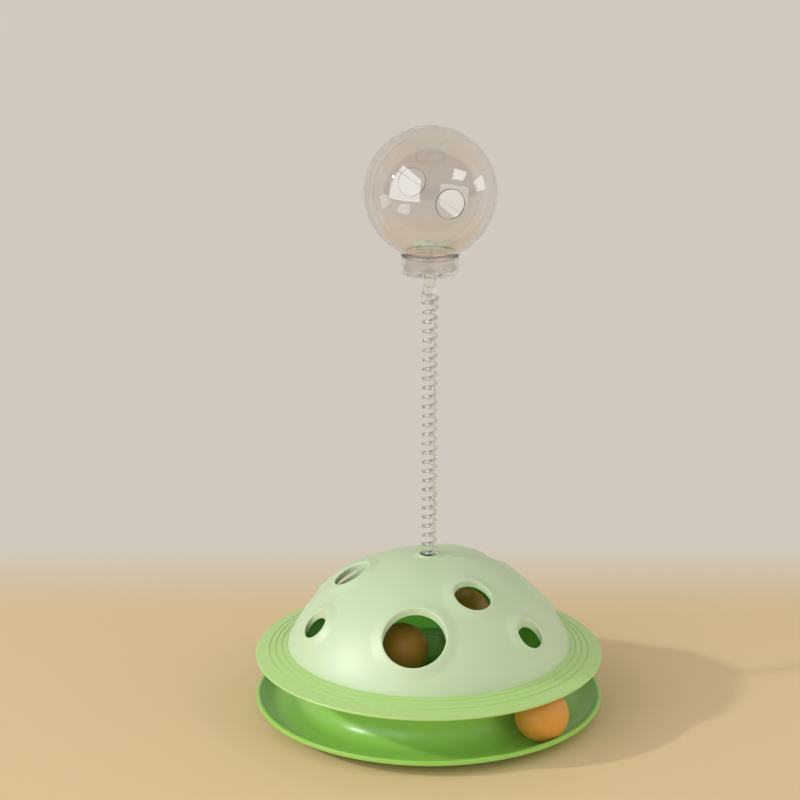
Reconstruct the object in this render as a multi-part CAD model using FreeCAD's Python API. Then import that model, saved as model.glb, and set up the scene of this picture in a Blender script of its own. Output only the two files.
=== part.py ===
import FreeCAD, Part
import math
import os

from FreeCAD import Vector

# Cat toy: a round ball track under a domed ball chamber, with a clear treat ball on a coil spring.
# Millimetres. Z is the axis of the toy, up from the table. -Y is the front.

# Track dish: lip, track floor, inner wall, and the plate inside the hub that carries the deck
rim_r = 125.0            # outer radius of the dish lip, and of the brim above it
rim_top = 12.0           # height of the lip over the table
rim_face = 3.0           # height of the lip's outer face
rim_width = 2.4          # width of the lip's top
rim_round = 1.0          # rounding of the lip's outer edge
track_floor = 4.5        # height of the track floor
dish_wall = 2.3
lip_sweep = 23.0         # radius of the curve from the track floor up to the lip
track_width = 41.0       # from the lip's outer edge in to the foot of the track's inner wall
hub_draft = 1.0          # how far the inner wall leans in over its height
hub_fillet = 13.0        # radius of the curve from the track floor up to the inner wall
web_drop = 11.9          # depth of the plate under the hub's top
web_thickness = 2.2
web_bore_r = 20.0
web_collar = 2.0         # thickness of the collar round that bore
rib_count = 8            # set midway between the deck screws
rib_thickness = 1.6
rib_depth = 9.0

# Balls
ball_r = 19.0
ball_wall = 1.6
ball_lift = 0.3          # running clearance under each ball
ball_lean = 20.4         # how far up the lip's curve the track ball rests, in degrees
ball_headroom = 2.24     # gap between the track ball and the brim over it
track_ball_azimuth = 46.5
chamber_orbit = 41.5
front_ball_azimuth = -28.0
back_ball_azimuth = 139.5

# Deck: brim, seat for the dome, and chamber floor
brim_width = 23.1        # from the dome's foot out to the brim's edge
brim_edge = 2.4          # height of the brim's rounded edge
brim_rise = 5.3          # rise of the brim from that edge up to the dome
deck_wall = 2.4
groove_spacing = 4.5     # spacing of the fine grooves on the brim
groove_first = 3.9       # distance of the first groove from the dome
groove_count = 3
groove_r = 0.55
seat_depth = 2.7         # depth of the groove in which the dome stands
seat_wall = 2.1          # thickness of the deck under that groove
seat_gap = 0.15          # gap on each side of the dome's foot
seat_lip = 1.6           # thickness of the lip inside that groove
seat_lip_rise = 1.8      # height of that lip over the groove's floor
floor_drop = 1.7         # depth of the chamber floor under the brim's lower edge
floor_margin = 2.0       # how far the flat floor reaches out past the hub's wall
wall_setback = 1.05      # from the seat's inner lip in to the top of the floor's sloping wall
ball_groove_r = 22.0     # section radius of the ball groove in the chamber floor
ball_groove_depth = 1.5
boss_r = 22.0            # round boss in the middle of the chamber floor
boss_rise = 6.0
boss_round = 2.0
locating_depth = 6.0     # depth of the deck's ring inside the dish's hub
locating_wall = 1.8
locating_gap = 0.3

# Dome
dome_rise = 67.1         # height of the dome over the brim
foot_lean = 15.8         # lean of the dome's side at its foot, in degrees
shoulder_r = 45.0        # section radius of the shoulder between foot and crown
dome_wall = 2.4
apex_hole_r = 6.2
apex_rim = 2.6           # width of the low ring round the top hole
apex_rim_rise = 0.5
apex_rim_drop = 1.4      # depth of that ring under the dome's inner face

# Paw holes: bore radius, and the angles of the turn about Z and of the tilt from the top.
# The pattern of three sizes repeats round the dome. Each rim is round about its own tilted axis,
# and the wall inside it is upright, as the mould opens upwards.
hole_turn = -8.0         # turn of the first large hole from the front
large_bore_r = 22.0
large_angles = (0.0, 45.0)
small_bore_r = 10.8
small_angles = (61.0, 50.5)
medium_bore_r = 13.5
medium_angles = (40.5, 29.5)
pattern_count = 3
crater_rise = 2.2        # height of a hole's rim over the dome
crater_flat = 0.8        # width of that rim's flat top
crater_run = 7.4         # width of the soft slope from the rim's top out to the dome
crater_sink = 0.05       # depth of that slope's end under the dome's face

# Spring
wire_r = 1.2
coil_r = 4.3             # radius of the wire's centre line
coil_pitch = 6.8
spring_length = 199.5    # along the axis, between the ends of the coiled part
flare_r = 5.2            # radius of the top coil's centre line, on the cap's peg
flare_turns = 1.0
flare_blend = 0.75       # turns over which the coil widens
wire_gap = 0.12          # gap between the wire and the pegs it is wound on
tail_gap = 0.1           # gap between the wire's lower end and the foot's flange
stop_gap = 0.05          # gap between the wire's ends and the stops they meet
stop_thickness = 1.4

# Spring foot, under the top of the dome
foot_drop = 12.0         # depth of the foot's flange under the dome's top
foot_flange_r = 19.0
foot_flange = 2.5        # thickness of that flange
foot_cup_gap = 0.3       # gap round the wire's straight end
foot_cup_wall = 1.8
foot_cup_seat = 0.2      # gap between the cup and the ring in the dome
foot_screw_r = 13.5
foot_boss_r = 3.2

# Cap and treat ball
cap_r = 19.7
cap_height = 12.0
cap_floor = 2.6
cap_wall = 2.2
cap_edge = 0.8
stem_r = 5.4
stem_length = 12.0
stem_wall = 2.4
stem_gap = 3.4           # from the last coil's centre line up to the stem
peg_length = 8.0
treat_r = 46.0
treat_wall = 1.6
treat_hole_r = 10.0
treat_hole_azimuth = 16.6
collar_gap = 0.3         # seam between the cap's edge and the ball's flange
flange_r = 20.4
flange_thickness = 1.6
flange_meet = 18.3       # radius at which the ball's sphere meets its flange
neck_gap = 0.35          # gap round the neck in the cap, and under it
lug_rise = 0.6           # height of the lugs over the neck's end
lug_height = 2.0
lug_depth = 0.9
lug_gap = 0.3
lug_angle = 24.0

# Screws and rubber feet
screw_r = 1.5
screw_head_r = 2.8
screw_head = 1.9         # height of the head
screw_head_round = 0.7
screw_fit = 0.05         # radial gap between a screw's shank and its hole
recess_width = 0.7
recess_depth = 1.0
deck_screw_inset = 18.0  # from the hub's wall in to the deck screws
deck_screw_count = 4
deck_screw_length = 12.0
deck_boss_r = 4.5
dome_screw_inset = 9.9   # from the dome's foot in to the dome screws
dome_screw_turn = 30.0   # turn of the dome screws from the large holes
dome_screw_length = 11.0
dome_boss_r = 4.2
dome_boss_lift = 0.4     # height of the dome's bosses over its foot
boss_skirt = 1.0         # wall of the deck round a dome screw's head, past the boss above it
dome_plate = 2.2         # thickness of the deck between a dome boss and its screw's head
head_gap = 0.3           # gap round a screw's head in its recess
foot_screw_length = 7.5
foot_count = 4
foot_r = 6.0
foot_height = 2.4
foot_recess = 1.0
foot_chamfer = 0.6
foot_pad_r = 8.0
foot_inset = 24.5        # from the lip's outer edge in to the feet
cut_margin = 1.0         # how far a cut runs past the face that it opens

Z = Vector(0, 0, 1)
ORIGIN = Vector(0, 0, 0)


def line(a, b):
    """A straight side of a section, from (radius, height) to (radius, height)."""
    return Part.LineSegment(Vector(a[0], 0, a[1]), Vector(b[0], 0, b[1])).toShape()


def arc(a, via, b):
    """A round side of a section through three (radius, height) points."""
    points = [Vector(p[0], 0, p[1]) for p in (a, via, b)]
    return Part.Arc(*points).toShape()


def on_circle(centre, radius, degrees):
    turn = math.radians(degrees)
    return (centre[0] + radius * math.cos(turn), centre[1] + radius * math.sin(turn))


def arc_about(centre, radius, first, last):
    """A round side about a centre, from one angle to another, in degrees."""
    ends = [on_circle(centre, radius, t) for t in (first, (first + last) / 2.0, last)]
    return arc(*ends)


def chain(*points):
    """Straight sides from point to point."""
    return [line(a, b) for a, b in zip(points, points[1:])]


def revolved(sides):
    """The solid that a closed section sweeps about Z."""
    wire = Part.Wire(Part.__sortEdges__(sides))
    return Part.Face(wire).revolve(ORIGIN, Z, 360)


def ring(inner, outer, bottom, top):
    solid = Part.makeCylinder(outer, top - bottom, Vector(0, 0, bottom))
    if inner > 0:
        solid = solid.cut(Part.makeCylinder(inner, top - bottom, Vector(0, 0, bottom)))
    return solid


def at_turn(radius, azimuth, height=0.0):
    """A point at an azimuth measured from the front (-Y) towards +X."""
    turn = math.radians(azimuth)
    return Vector(radius * math.sin(turn), -radius * math.cos(turn), height)


def around(count, first):
    return [first + 360.0 / count * i for i in range(count)]


def rod(radius, azimuth, rod_r, bottom, top):
    """An upright cylinder at a place round the axis."""
    return Part.makeCylinder(rod_r, top - bottom, at_turn(radius, azimuth, bottom))


def save(name, shape):
    shape = shape.removeSplitter() if len(shape.Solids) == 1 else shape
    solids = shape.Solids
    if len(solids) == 1:
        shape = solids[0]
    shape.exportStep("parts/" + name + ".step")
    box = shape.optimalBoundingBox()
    print("%-20s solids %d volume %9.1f valid %s  z %.2f to %.2f" % (
        name, len(solids), shape.Volume, shape.isValid(), box.ZMin, box.ZMax))


# Places that follow from the sizes above
hub_r = rim_r - track_width
dome_foot = rim_r - brim_width
rim_sweep_rise = lip_sweep - rim_top + track_floor
sweep_start = rim_r - rim_width - math.sqrt(lip_sweep ** 2 - rim_sweep_rise ** 2)
sweep_centre = (sweep_start, track_floor + lip_sweep)
fillet_centre = (hub_r + hub_fillet, track_floor + hub_fillet)

lean_reach = (lip_sweep - ball_r) * math.sin(math.radians(ball_lean))
lean_depth = (lip_sweep - ball_r) * math.cos(math.radians(ball_lean))
track_orbit = sweep_start + lean_reach
track_rest = sweep_centre[1] - lean_depth - ball_r
brim_slope = brim_rise / (brim_width - seat_gap - brim_edge / 2.0)
over_ball = track_rest + ball_lift + 2 * ball_r + ball_headroom
brim_top = over_ball + brim_edge + (track_orbit - dome_foot - seat_gap) * brim_slope
brim_bottom = brim_top - brim_rise - brim_edge

chamber_floor_r = hub_r + floor_margin
chamber_floor = brim_bottom - floor_drop
hub_top = chamber_floor - deck_wall
web_top = hub_top - web_drop
deck_screw_r = hub_r - deck_screw_inset
deck_screw_turns = around(deck_screw_count, 180.0 / deck_screw_count)
foot_orbit = rim_r - foot_inset
foot_turns = around(foot_count, 180.0 / foot_count)

dome_seat = brim_top - seat_depth
dome_top = brim_top + dome_rise
lean = math.radians(foot_lean)
shoulder_centre = (dome_foot - shoulder_r * math.cos(lean), brim_top - shoulder_r * math.sin(lean))
shoulder_reach = dome_top - shoulder_r
crown_z = ((shoulder_reach ** 2 - shoulder_centre[0] ** 2 - shoulder_centre[1] ** 2)
           / (2 * (shoulder_reach - shoulder_centre[1])))
crown_centre = (0.0, crown_z)
crown_r = dome_top - crown_z
tangent_angle = math.degrees(math.atan2(shoulder_centre[1] - crown_z, shoulder_centre[0]))

dome_screw_r = dome_foot - dome_screw_inset
dome_screw_turns = around(pattern_count, hole_turn + dome_screw_turn)
dome_boss_bottom = dome_seat + dome_boss_lift
dome_head_seat = dome_boss_bottom - dome_plate

foot_top = dome_top - foot_drop
foot_bottom = foot_top - foot_flange
foot_cup_top = dome_top - dome_wall - apex_rim_drop - foot_cup_seat
foot_screw_turns = (70.0, 250.0)

spring_bottom = foot_top + 2 * wire_r + tail_gap
spring_top = spring_bottom + spring_length
turn_count = spring_length / coil_pitch

stem_bottom = spring_top + stem_gap
cap_bottom = stem_bottom + stem_length
cap_top = cap_bottom + cap_height
flange_top = cap_top + collar_gap + flange_thickness
treat_centre = flange_top + math.sqrt(treat_r ** 2 - flange_meet ** 2)
neck_r = cap_r - cap_wall - neck_gap
neck_bottom = cap_bottom + cap_floor + neck_gap
lug_bottom = neck_bottom + lug_rise


def screw(place, length):
    """A pan head screw with a cross recess. Its head is below place and its shank points up."""
    side = screw_head_r - screw_head_round
    sides = chain((0, -screw_head), (side, -screw_head))
    sides.append(arc_about((side, screw_head_round - screw_head), screw_head_round, -90, 0))
    sides += chain((screw_head_r, screw_head_round - screw_head), (screw_head_r, 0), (screw_r, 0),
                   (screw_r, length - screw_r), (0, length), (0, -screw_head))
    body = revolved(sides)
    slot = 1.3 * screw_head_r
    for size_x, size_y in ((slot, recess_width), (recess_width, slot)):
        corner = Vector(-size_x / 2, -size_y / 2, -screw_head)
        body = body.cut(Part.makeBox(size_x, size_y, recess_depth, corner))
    body.translate(place)
    return body


def dish_section():
    """Lip, track floor and inner wall, as one wall of even thickness."""
    under = track_floor - dish_wall
    inside = hub_r - dish_wall
    outer_sweep = lip_sweep + dish_wall
    lip_angle = math.degrees(math.acos(rim_sweep_rise / lip_sweep)) - 90.0
    under_angle = math.degrees(math.acos((rim_sweep_rise + rim_face) / outer_sweep)) - 90.0
    round_x = rim_r - rim_round
    sides = [arc_about(sweep_centre, lip_sweep, -90, lip_angle)]
    sides += chain(on_circle(sweep_centre, lip_sweep, lip_angle), (round_x, rim_top))
    sides.append(arc_about((round_x, rim_top - rim_round), rim_round, 90, 0))
    sides += chain((rim_r, rim_top - rim_round), (rim_r, rim_top - rim_face),
                   on_circle(sweep_centre, outer_sweep, under_angle))
    sides.append(arc_about(sweep_centre, outer_sweep, under_angle, -90))
    sides += chain((sweep_start, under), (fillet_centre[0], under))
    sides.append(arc_about(fillet_centre, hub_fillet + dish_wall, -90, -180))
    sides += chain((inside, fillet_centre[1]), (inside - hub_draft, hub_top),
                   (hub_r - hub_draft, hub_top), (hub_r, fillet_centre[1]))
    sides.append(arc_about(fillet_centre, hub_fillet, 180, 270))
    sides += chain((fillet_centre[0], track_floor), (sweep_start, track_floor))
    return sides


def make_track_dish():
    reach = hub_r - dish_wall / 2.0 - hub_draft
    rib_bottom = web_top - rib_depth
    rib_start = web_bore_r + web_collar / 2.0
    parts = [ring(web_bore_r, reach, web_top - web_thickness, web_top),
             ring(web_bore_r, web_bore_r + web_collar, rib_bottom, web_top)]
    for turn in around(rib_count, deck_screw_turns[0] + 180.0 / rib_count):
        rib = Part.makeBox(rib_thickness, reach - rib_start, rib_depth,
                           Vector(-rib_thickness / 2, rib_start, rib_bottom))
        rib.rotate(ORIGIN, Z, turn)
        parts.append(rib)
    pad_top = track_floor - dish_wall / 4.0
    parts += [rod(foot_orbit, t, foot_pad_r, foot_height - foot_recess, pad_top) for t in foot_turns]
    dish = revolved(dish_section()).multiFuse(parts)
    cuts = [rod(foot_orbit, t, foot_r, 0, foot_height) for t in foot_turns]
    cuts += [rod(deck_screw_r, t, screw_r + screw_fit, 0, hub_top) for t in deck_screw_turns]
    return dish.cut(Part.makeCompound(cuts))


def foot_inner_r(inset):
    """Radius of the dome's foot, drawn in by inset from its outer face."""
    rise = brim_top - shoulder_centre[1]
    return shoulder_centre[0] + math.sqrt((shoulder_r - inset) ** 2 - rise ** 2)


def brim_height(radius):
    """Height of the brim's top face at a radius."""
    return brim_top - (radius - dome_foot - seat_gap) * brim_slope


def chamber_wall_r():
    """Radius at the top of the sloping wall round the chamber's floor."""
    return foot_inner_r(dome_wall) - seat_gap - seat_lip - wall_setback


def groove_edges(radius, height):
    """Where the ball groove, or the bulge under it, comes out of a flat face of the floor."""
    rise = chamber_floor - ball_groove_depth + ball_groove_r - height
    half = math.sqrt(radius ** 2 - rise ** 2)
    return (chamber_orbit + half, height), (chamber_orbit - half, height)


def deck_top_side():
    """The deck's upper face, from the brim's edge in to the axis."""
    edge_r = brim_edge / 2.0
    seat_out = dome_foot + seat_gap
    seat_in = foot_inner_r(dome_wall) - seat_gap
    lip_top = dome_seat + seat_lip_rise
    sides = chain((rim_r - edge_r, brim_bottom + brim_edge), (seat_out, brim_top), (seat_out, dome_seat),
                  (seat_in, dome_seat), (seat_in, lip_top), (seat_in - seat_lip, lip_top),
                  (chamber_wall_r(), dome_seat - seat_wall / 2.0), (chamber_floor_r, chamber_floor))
    outer, inner = groove_edges(ball_groove_r, chamber_floor)
    sides += chain((chamber_floor_r, chamber_floor), outer)
    sides.append(arc(outer, (chamber_orbit, chamber_floor - ball_groove_depth), inner))
    foot = (boss_r + boss_round, chamber_floor + boss_round)
    crown = (boss_r - boss_round, chamber_floor + boss_rise - boss_round)
    sides += chain(inner, (foot[0], chamber_floor))
    sides.append(arc_about(foot, boss_round, -90, -180))
    sides += chain((boss_r, foot[1]), (boss_r, crown[1]))
    sides.append(arc_about(crown, boss_round, 0, 90))
    return sides + chain((crown[0], chamber_floor + boss_rise), (0, chamber_floor + boss_rise))


def deck_under_side():
    """The deck's lower face, from the axis out to the brim's edge."""
    edge_r = brim_edge / 2.0
    under_seat = dome_seat - seat_wall
    under_boss = chamber_floor + boss_rise - deck_wall
    past_seat = dome_foot + seat_gap + seat_wall
    outer, inner = groove_edges(ball_groove_r + deck_wall, hub_top)
    sides = chain((0, chamber_floor + boss_rise), (0, under_boss), (boss_r - deck_wall, under_boss),
                  (boss_r - deck_wall, hub_top), inner)
    sides.append(arc(inner, (chamber_orbit, hub_top - ball_groove_depth), outer))
    sides += chain(outer, (chamber_floor_r + deck_wall / 2.0, hub_top),
                   (chamber_wall_r() + deck_wall / 2.0, under_seat), (past_seat - edge_r, under_seat),
                   (past_seat, brim_height(past_seat) - brim_edge), (rim_r - edge_r, brim_bottom))
    sides.append(arc_about((rim_r - edge_r, brim_bottom + edge_r), edge_r, -90, 90))
    return sides


def make_deck():
    locating_r = hub_r - dish_wall - hub_draft - locating_gap
    overlap = deck_wall / 4.0
    parts = [ring(locating_r - locating_wall, locating_r, hub_top - locating_depth, hub_top + overlap)]
    parts += [rod(deck_screw_r, t, deck_boss_r, web_top, hub_top + overlap) for t in deck_screw_turns]
    boss_bottom = dome_head_seat - screw_head
    skirt_r = dome_boss_r + boss_skirt
    parts += [rod(dome_screw_r, t, skirt_r, boss_bottom, dome_boss_bottom) for t in dome_screw_turns]
    deck = revolved(deck_top_side() + deck_under_side()).multiFuse(parts)
    pilot_top = web_top + deck_screw_length
    cuts = [rod(deck_screw_r, t, screw_r + screw_fit, web_top, pilot_top) for t in deck_screw_turns]
    for turn in dome_screw_turns:
        cuts.append(rod(dome_screw_r, turn, screw_head_r + head_gap, hub_top, dome_head_seat))
        cuts.append(rod(dome_screw_r, turn, screw_r + screw_fit, hub_top, dome_top))
    for i in range(groove_count):
        radius = dome_foot + groove_first + groove_spacing * i
        cuts.append(Part.makeTorus(radius, groove_r, Vector(0, 0, brim_height(radius))))
    return deck.cut(Part.makeCompound(cuts))


def dome_body(inset):
    """The filled dome, drawn in by inset from its outer face."""
    crown = crown_r - inset
    shoulder = shoulder_r - inset
    low = dome_seat - (cut_margin if inset else 0.0)
    foot = foot_inner_r(inset)
    foot_angle = math.degrees(math.asin((brim_top - shoulder_centre[1]) / shoulder))
    sides = [arc_about(crown_centre, crown, 90, tangent_angle),
             arc_about(shoulder_centre, shoulder, tangent_angle, foot_angle)]
    sides += chain((foot, brim_top), (foot, low), (0, low), (0, crown_z + crown))
    return revolved(sides)


def crown_height(distance):
    """Height of the crown's face over its centre, at a distance from a hole's own axis."""
    return math.sqrt(crown_r ** 2 - distance ** 2)


def crater(bore_r):
    """The raised rim of a paw hole about +Z, filled in, with the crown's centre at the origin."""
    top = crown_height(bore_r) + crater_rise
    crest = Vector(bore_r + crater_flat, 0, top)
    foot_r = crest.x + crater_run
    foot = Vector(foot_r, 0, crown_height(foot_r) - crater_sink)
    fall = math.asin(foot_r / crown_r)
    under = crown_r - dome_wall / 2.0
    low = on_circle((0, 0), under, 90 - math.degrees(fall))
    sides = chain((0, under), (0, top), (crest.x, top))
    sides += biarc(crest, Vector(1, 0, 0), foot, Vector(math.cos(fall), 0, -math.sin(fall)))
    sides.append(line((foot.x, foot.z), low))
    sides.append(arc_about((0, 0), under, 90 - math.degrees(fall), 90))
    return revolved(sides)


def aimed(shape, azimuth, tilt):
    """Turns a shape on +Z to a hole's direction and moves it onto the crown's centre."""
    shape = shape.copy()
    shape.rotate(ORIGIN, Vector(1, 0, 0), tilt)
    shape.rotate(ORIGIN, Z, azimuth)
    shape.translate(Vector(0, 0, crown_z))
    return shape


def hole_places():
    places = []
    for turn in around(pattern_count, hole_turn):
        for bore_r, (extra, tilt) in ((large_bore_r, large_angles), (small_bore_r, small_angles),
                                      (medium_bore_r, medium_angles)):
            places.append((turn + extra, tilt, bore_r))
    return places


def make_apex_rim():
    """The low ring round the top hole."""
    low = dome_top - dome_wall - apex_rim_drop
    solid = ring(apex_hole_r, apex_hole_r + apex_rim, low, dome_top + apex_rim_rise)
    top_edges = [e for e in solid.Edges if e.BoundBox.ZMin > dome_top]
    return solid.makeFillet(0.9 * apex_rim_rise, top_edges)


def crater_middle(turn, tilt, bore_r):
    """The middle of the flat top of a paw hole's rim."""
    return aimed(Part.Vertex(0, 0, crown_height(bore_r) + crater_rise), turn, tilt).Point


def paw_bore(turn, tilt, bore_r):
    """The upright cut inside a rim, from above the dome down to under it."""
    axis = aimed(Part.Vertex(0, 0, 1), turn, tilt).Point - Vector(0, 0, crown_z)
    circle = Part.Circle(crater_middle(turn, tilt, bore_r) + Z * dome_rise, axis, bore_r)
    return Part.Face(Part.Wire(circle.toShape())).extrude(Z * (-2 * dome_rise))


def make_dome():
    outer = dome_body(0.0)
    skin = dome_body(dome_wall / 4.0)
    bosses = [rod(foot_screw_r, t, foot_boss_r, foot_top, dome_top) for t in foot_screw_turns]
    bosses += [rod(dome_screw_r, t, dome_boss_r, dome_boss_bottom, dome_top) for t in dome_screw_turns]
    rims = [aimed(crater(bore_r), turn, tilt) for turn, tilt, bore_r in hole_places()]
    dome = outer.cut(dome_body(dome_wall))
    dome = dome.multiFuse(rims + [make_apex_rim()] + [boss.common(skin) for boss in bosses])
    bores = [paw_bore(*place) for place in hole_places()]
    bores.append(rod(0, 0, apex_hole_r, foot_top, dome_top + 2 * apex_rim_rise))
    pilot_r = screw_r + screw_fit
    pilot_top = foot_bottom + foot_screw_length + screw_r
    bores += [rod(foot_screw_r, t, pilot_r, foot_bottom, pilot_top) for t in foot_screw_turns]
    pilot_top = dome_head_seat + dome_screw_length + screw_r
    bores += [rod(dome_screw_r, t, pilot_r, dome_head_seat, pilot_top) for t in dome_screw_turns]
    return dome.cut(Part.makeCompound(bores))


def make_ball(orbit, azimuth, floor_height):
    centre = at_turn(orbit, azimuth, floor_height + ball_r + ball_lift)
    return Part.makeSphere(ball_r, centre).cut(Part.makeSphere(ball_r - ball_wall, centre))


def spring_radius(turns):
    """Radius of the coil's centre line. The last turns are wider, to go round the cap's peg."""
    start = turn_count - flare_turns - flare_blend
    share = min(max((turns - start) / flare_blend, 0.0), 1.0)
    smooth = share * share * (3.0 - 2.0 * share)
    return coil_r + (flare_r - coil_r) * smooth


def coil_point(turns):
    angle = 2 * math.pi * turns
    radius = spring_radius(turns)
    return Vector(radius * math.cos(angle), radius * math.sin(angle), spring_bottom + coil_pitch * turns)


def coil_direction(turns):
    step = 0.0005
    along = coil_point(turns + step) - coil_point(turns - step)
    return along.normalize()


def spring_ends():
    """The wire's two ends, each with the direction out of it, past straight runs one wire wide."""
    low = coil_direction(0) * -1
    high = coil_direction(turn_count)
    run = 2 * wire_r
    return (coil_point(0) + low * run, low), (coil_point(turn_count) + high * run, high)


def arc_middle(start, direction, end):
    """The middle point of the arc from start, along direction, to end."""
    chord = end - start
    unit = Vector(chord).normalize()
    side = direction - unit * direction.dot(unit)
    bend = direction.getAngle(unit)
    return start + chord * 0.5 + side.normalize() * (chord.Length / 2 * math.tan(bend / 2))


def biarc(a, along_a, b, along_b):
    """Two arcs that leave a along one direction and reach b along the other."""
    span = b - a
    both = along_a + along_b
    spread = 2 * (1 - along_a.dot(along_b))
    reach = (-span.dot(both) + math.sqrt(span.dot(both) ** 2 + spread * span.dot(span))) / spread
    joint = (a + along_a * reach + b - along_b * reach) * 0.5
    return [Part.Arc(a, arc_middle(a, along_a, joint), joint).toShape(),
            Part.Arc(joint, arc_middle(b, along_b * -1, joint), b).toShape()]


def spring_path():
    """Half-turn biarcs up the coil, with a straight run at each end."""
    steps = int(math.ceil(turn_count * 2))
    marks = [turn_count * i / steps for i in range(steps + 1)]
    edges = []
    for low, high in zip(marks, marks[1:]):
        edges += biarc(coil_point(low), coil_direction(low), coil_point(high), coil_direction(high))
    tightest = min(edge.Curve.Radius for edge in edges)
    tail, tip = [end[0] for end in spring_ends()]
    first = Part.LineSegment(tail, coil_point(0)).toShape()
    last = Part.LineSegment(coil_point(turn_count), tip).toShape()
    print("spring: %.2f turns, tightest radius %.2f, wire radius %.2f" % (turn_count, tightest, wire_r))
    return [first] + edges + [last]


def self_gap(edges):
    """Least gap of the spring to itself, measured on points along it."""
    spacing = 0.5
    points = []
    travelled = 0.0
    for edge in edges:
        count = max(int(edge.Length / spacing), 2)
        for i in range(count):
            share = edge.FirstParameter + (edge.LastParameter - edge.FirstParameter) * i / count
            points.append((travelled + edge.Length * i / count, edge.valueAt(share)))
        travelled += edge.Length
    half_turn = math.pi * coil_r
    window = int(4 * half_turn / spacing)
    least = travelled
    for i, (s, p) in enumerate(points):
        for t, q in points[i + 1:i + window]:
            if t - s > half_turn:
                least = min(least, p.distanceToPoint(q))
    return least - 2 * wire_r


def make_spring():
    edges = spring_path()
    print("spring: least gap to itself %.2f" % self_gap(edges))
    path = Part.Wire(edges)
    tail, outward = spring_ends()[0]
    shell = Part.BRepOffsetAPI.MakePipeShell(path)
    shell.add(Part.Wire(Part.Circle(tail, outward, wire_r).toShape()))
    shell.build()
    shell.makeSolid()
    solid = shell.shape()
    expected = math.pi * wire_r ** 2 * path.Length
    print("spring: volume over section times length %.4f" % (solid.Volume / expected))
    return solid


def stop_block(end, outward, reach):
    """A small block whose face stands square to the end of the wire."""
    width = 2.4 * wire_r
    block = Part.makeBox(stop_thickness, width, 2 * reach, Vector(0, -width / 2, -reach))
    level = math.hypot(outward.x, outward.y)
    block.rotate(ORIGIN, Vector(0, 1, 0), -math.degrees(math.atan2(outward.z, level)))
    block.rotate(ORIGIN, Z, math.degrees(math.atan2(outward.y, outward.x)))
    block.translate(end + outward * stop_gap)
    return block


def make_spring_foot():
    """Flange, cup and peg that hold the lowest coils under the dome's top hole."""
    cup_in = math.hypot(coil_r, 2 * wire_r) + wire_r + foot_cup_gap
    peg_r = coil_r - wire_r - wire_gap
    peg = Part.makeCone(peg_r, 0.8 * peg_r, foot_cup_top - foot_top, Vector(0, 0, foot_top))
    tail, outward = spring_ends()[0]
    room_bottom = Vector(0, 0, foot_top - foot_flange / 10)
    room = Part.makeCylinder(cup_in + foot_cup_wall / 2, 4 * wire_r, room_bottom)
    foot = ring(0, foot_flange_r, foot_bottom, foot_top)
    foot = foot.multiFuse([ring(cup_in, cup_in + foot_cup_wall, foot_bottom, foot_cup_top), peg,
                           stop_block(tail, outward, 3 * wire_r).common(room)])
    cuts = [rod(foot_screw_r, t, screw_r + screw_fit, foot_bottom, foot_top) for t in foot_screw_turns]
    return foot.cut(Part.makeCompound(cuts))


def cap_section():
    """A round cup on a stem."""
    bore = cap_r - cap_wall
    floor_top = cap_bottom + cap_floor
    corner = (stem_r + cap_edge, cap_bottom - cap_edge)
    outer = (cap_r - cap_edge, cap_bottom + cap_edge)
    sides = chain((0, stem_bottom), (stem_r, stem_bottom), (stem_r, corner[1]))
    sides.append(arc_about(corner, cap_edge, 180, 90))
    sides += chain((corner[0], cap_bottom), (outer[0], cap_bottom))
    sides.append(arc_about(outer, cap_edge, -90, 0))
    return sides + chain((cap_r, outer[1]), (cap_r, cap_top), (bore, cap_top), (bore, floor_top),
                         (0, floor_top), (0, stem_bottom))


def lug_wedge(azimuth, gap, bottom, top):
    """The sector that a bayonet lug fills, or with a gap on each side, its slot."""
    width = 2 * cap_r * math.sin(math.radians(lug_angle / 2)) + 2 * gap
    wedge = Part.makeBox(cap_r, width, top - bottom, Vector(0, -width / 2, bottom))
    wedge.rotate(ORIGIN, Z, azimuth)
    return wedge


def make_cap():
    """Cup with a stem and peg below, a bayonet groove inside, and two slots down to it."""
    bore = cap_r - cap_wall
    peg_r = flare_r - wire_r - wire_gap
    peg = Part.makeCone(0.8 * peg_r, peg_r, peg_length, Vector(0, 0, stem_bottom - peg_length))
    tip, outward = spring_ends()[1]
    room = Part.makeCylinder(flare_r + 1.2 * wire_r, 5 * wire_r, Vector(0, 0, stem_bottom - 4.5 * wire_r))
    cap = revolved(cap_section()).multiFuse([peg, stop_block(tip, outward, 3 * wire_r).common(room)])
    low = lug_bottom - lug_gap
    cuts = [ring(bore - neck_gap, bore + lug_depth, low, lug_bottom + lug_height + lug_gap),
            Part.makeCylinder(stem_r - stem_wall, stem_length, Vector(0, 0, stem_bottom + stem_wall))]
    slots = ring(bore - neck_gap, bore + lug_depth, low, cap_top)
    cuts += [slots.common(lug_wedge(turn, lug_gap, low, cap_top)) for turn in (90.0, 270.0)]
    for cut in cuts:
        cap = cap.cut(cut)
    return cap


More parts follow.
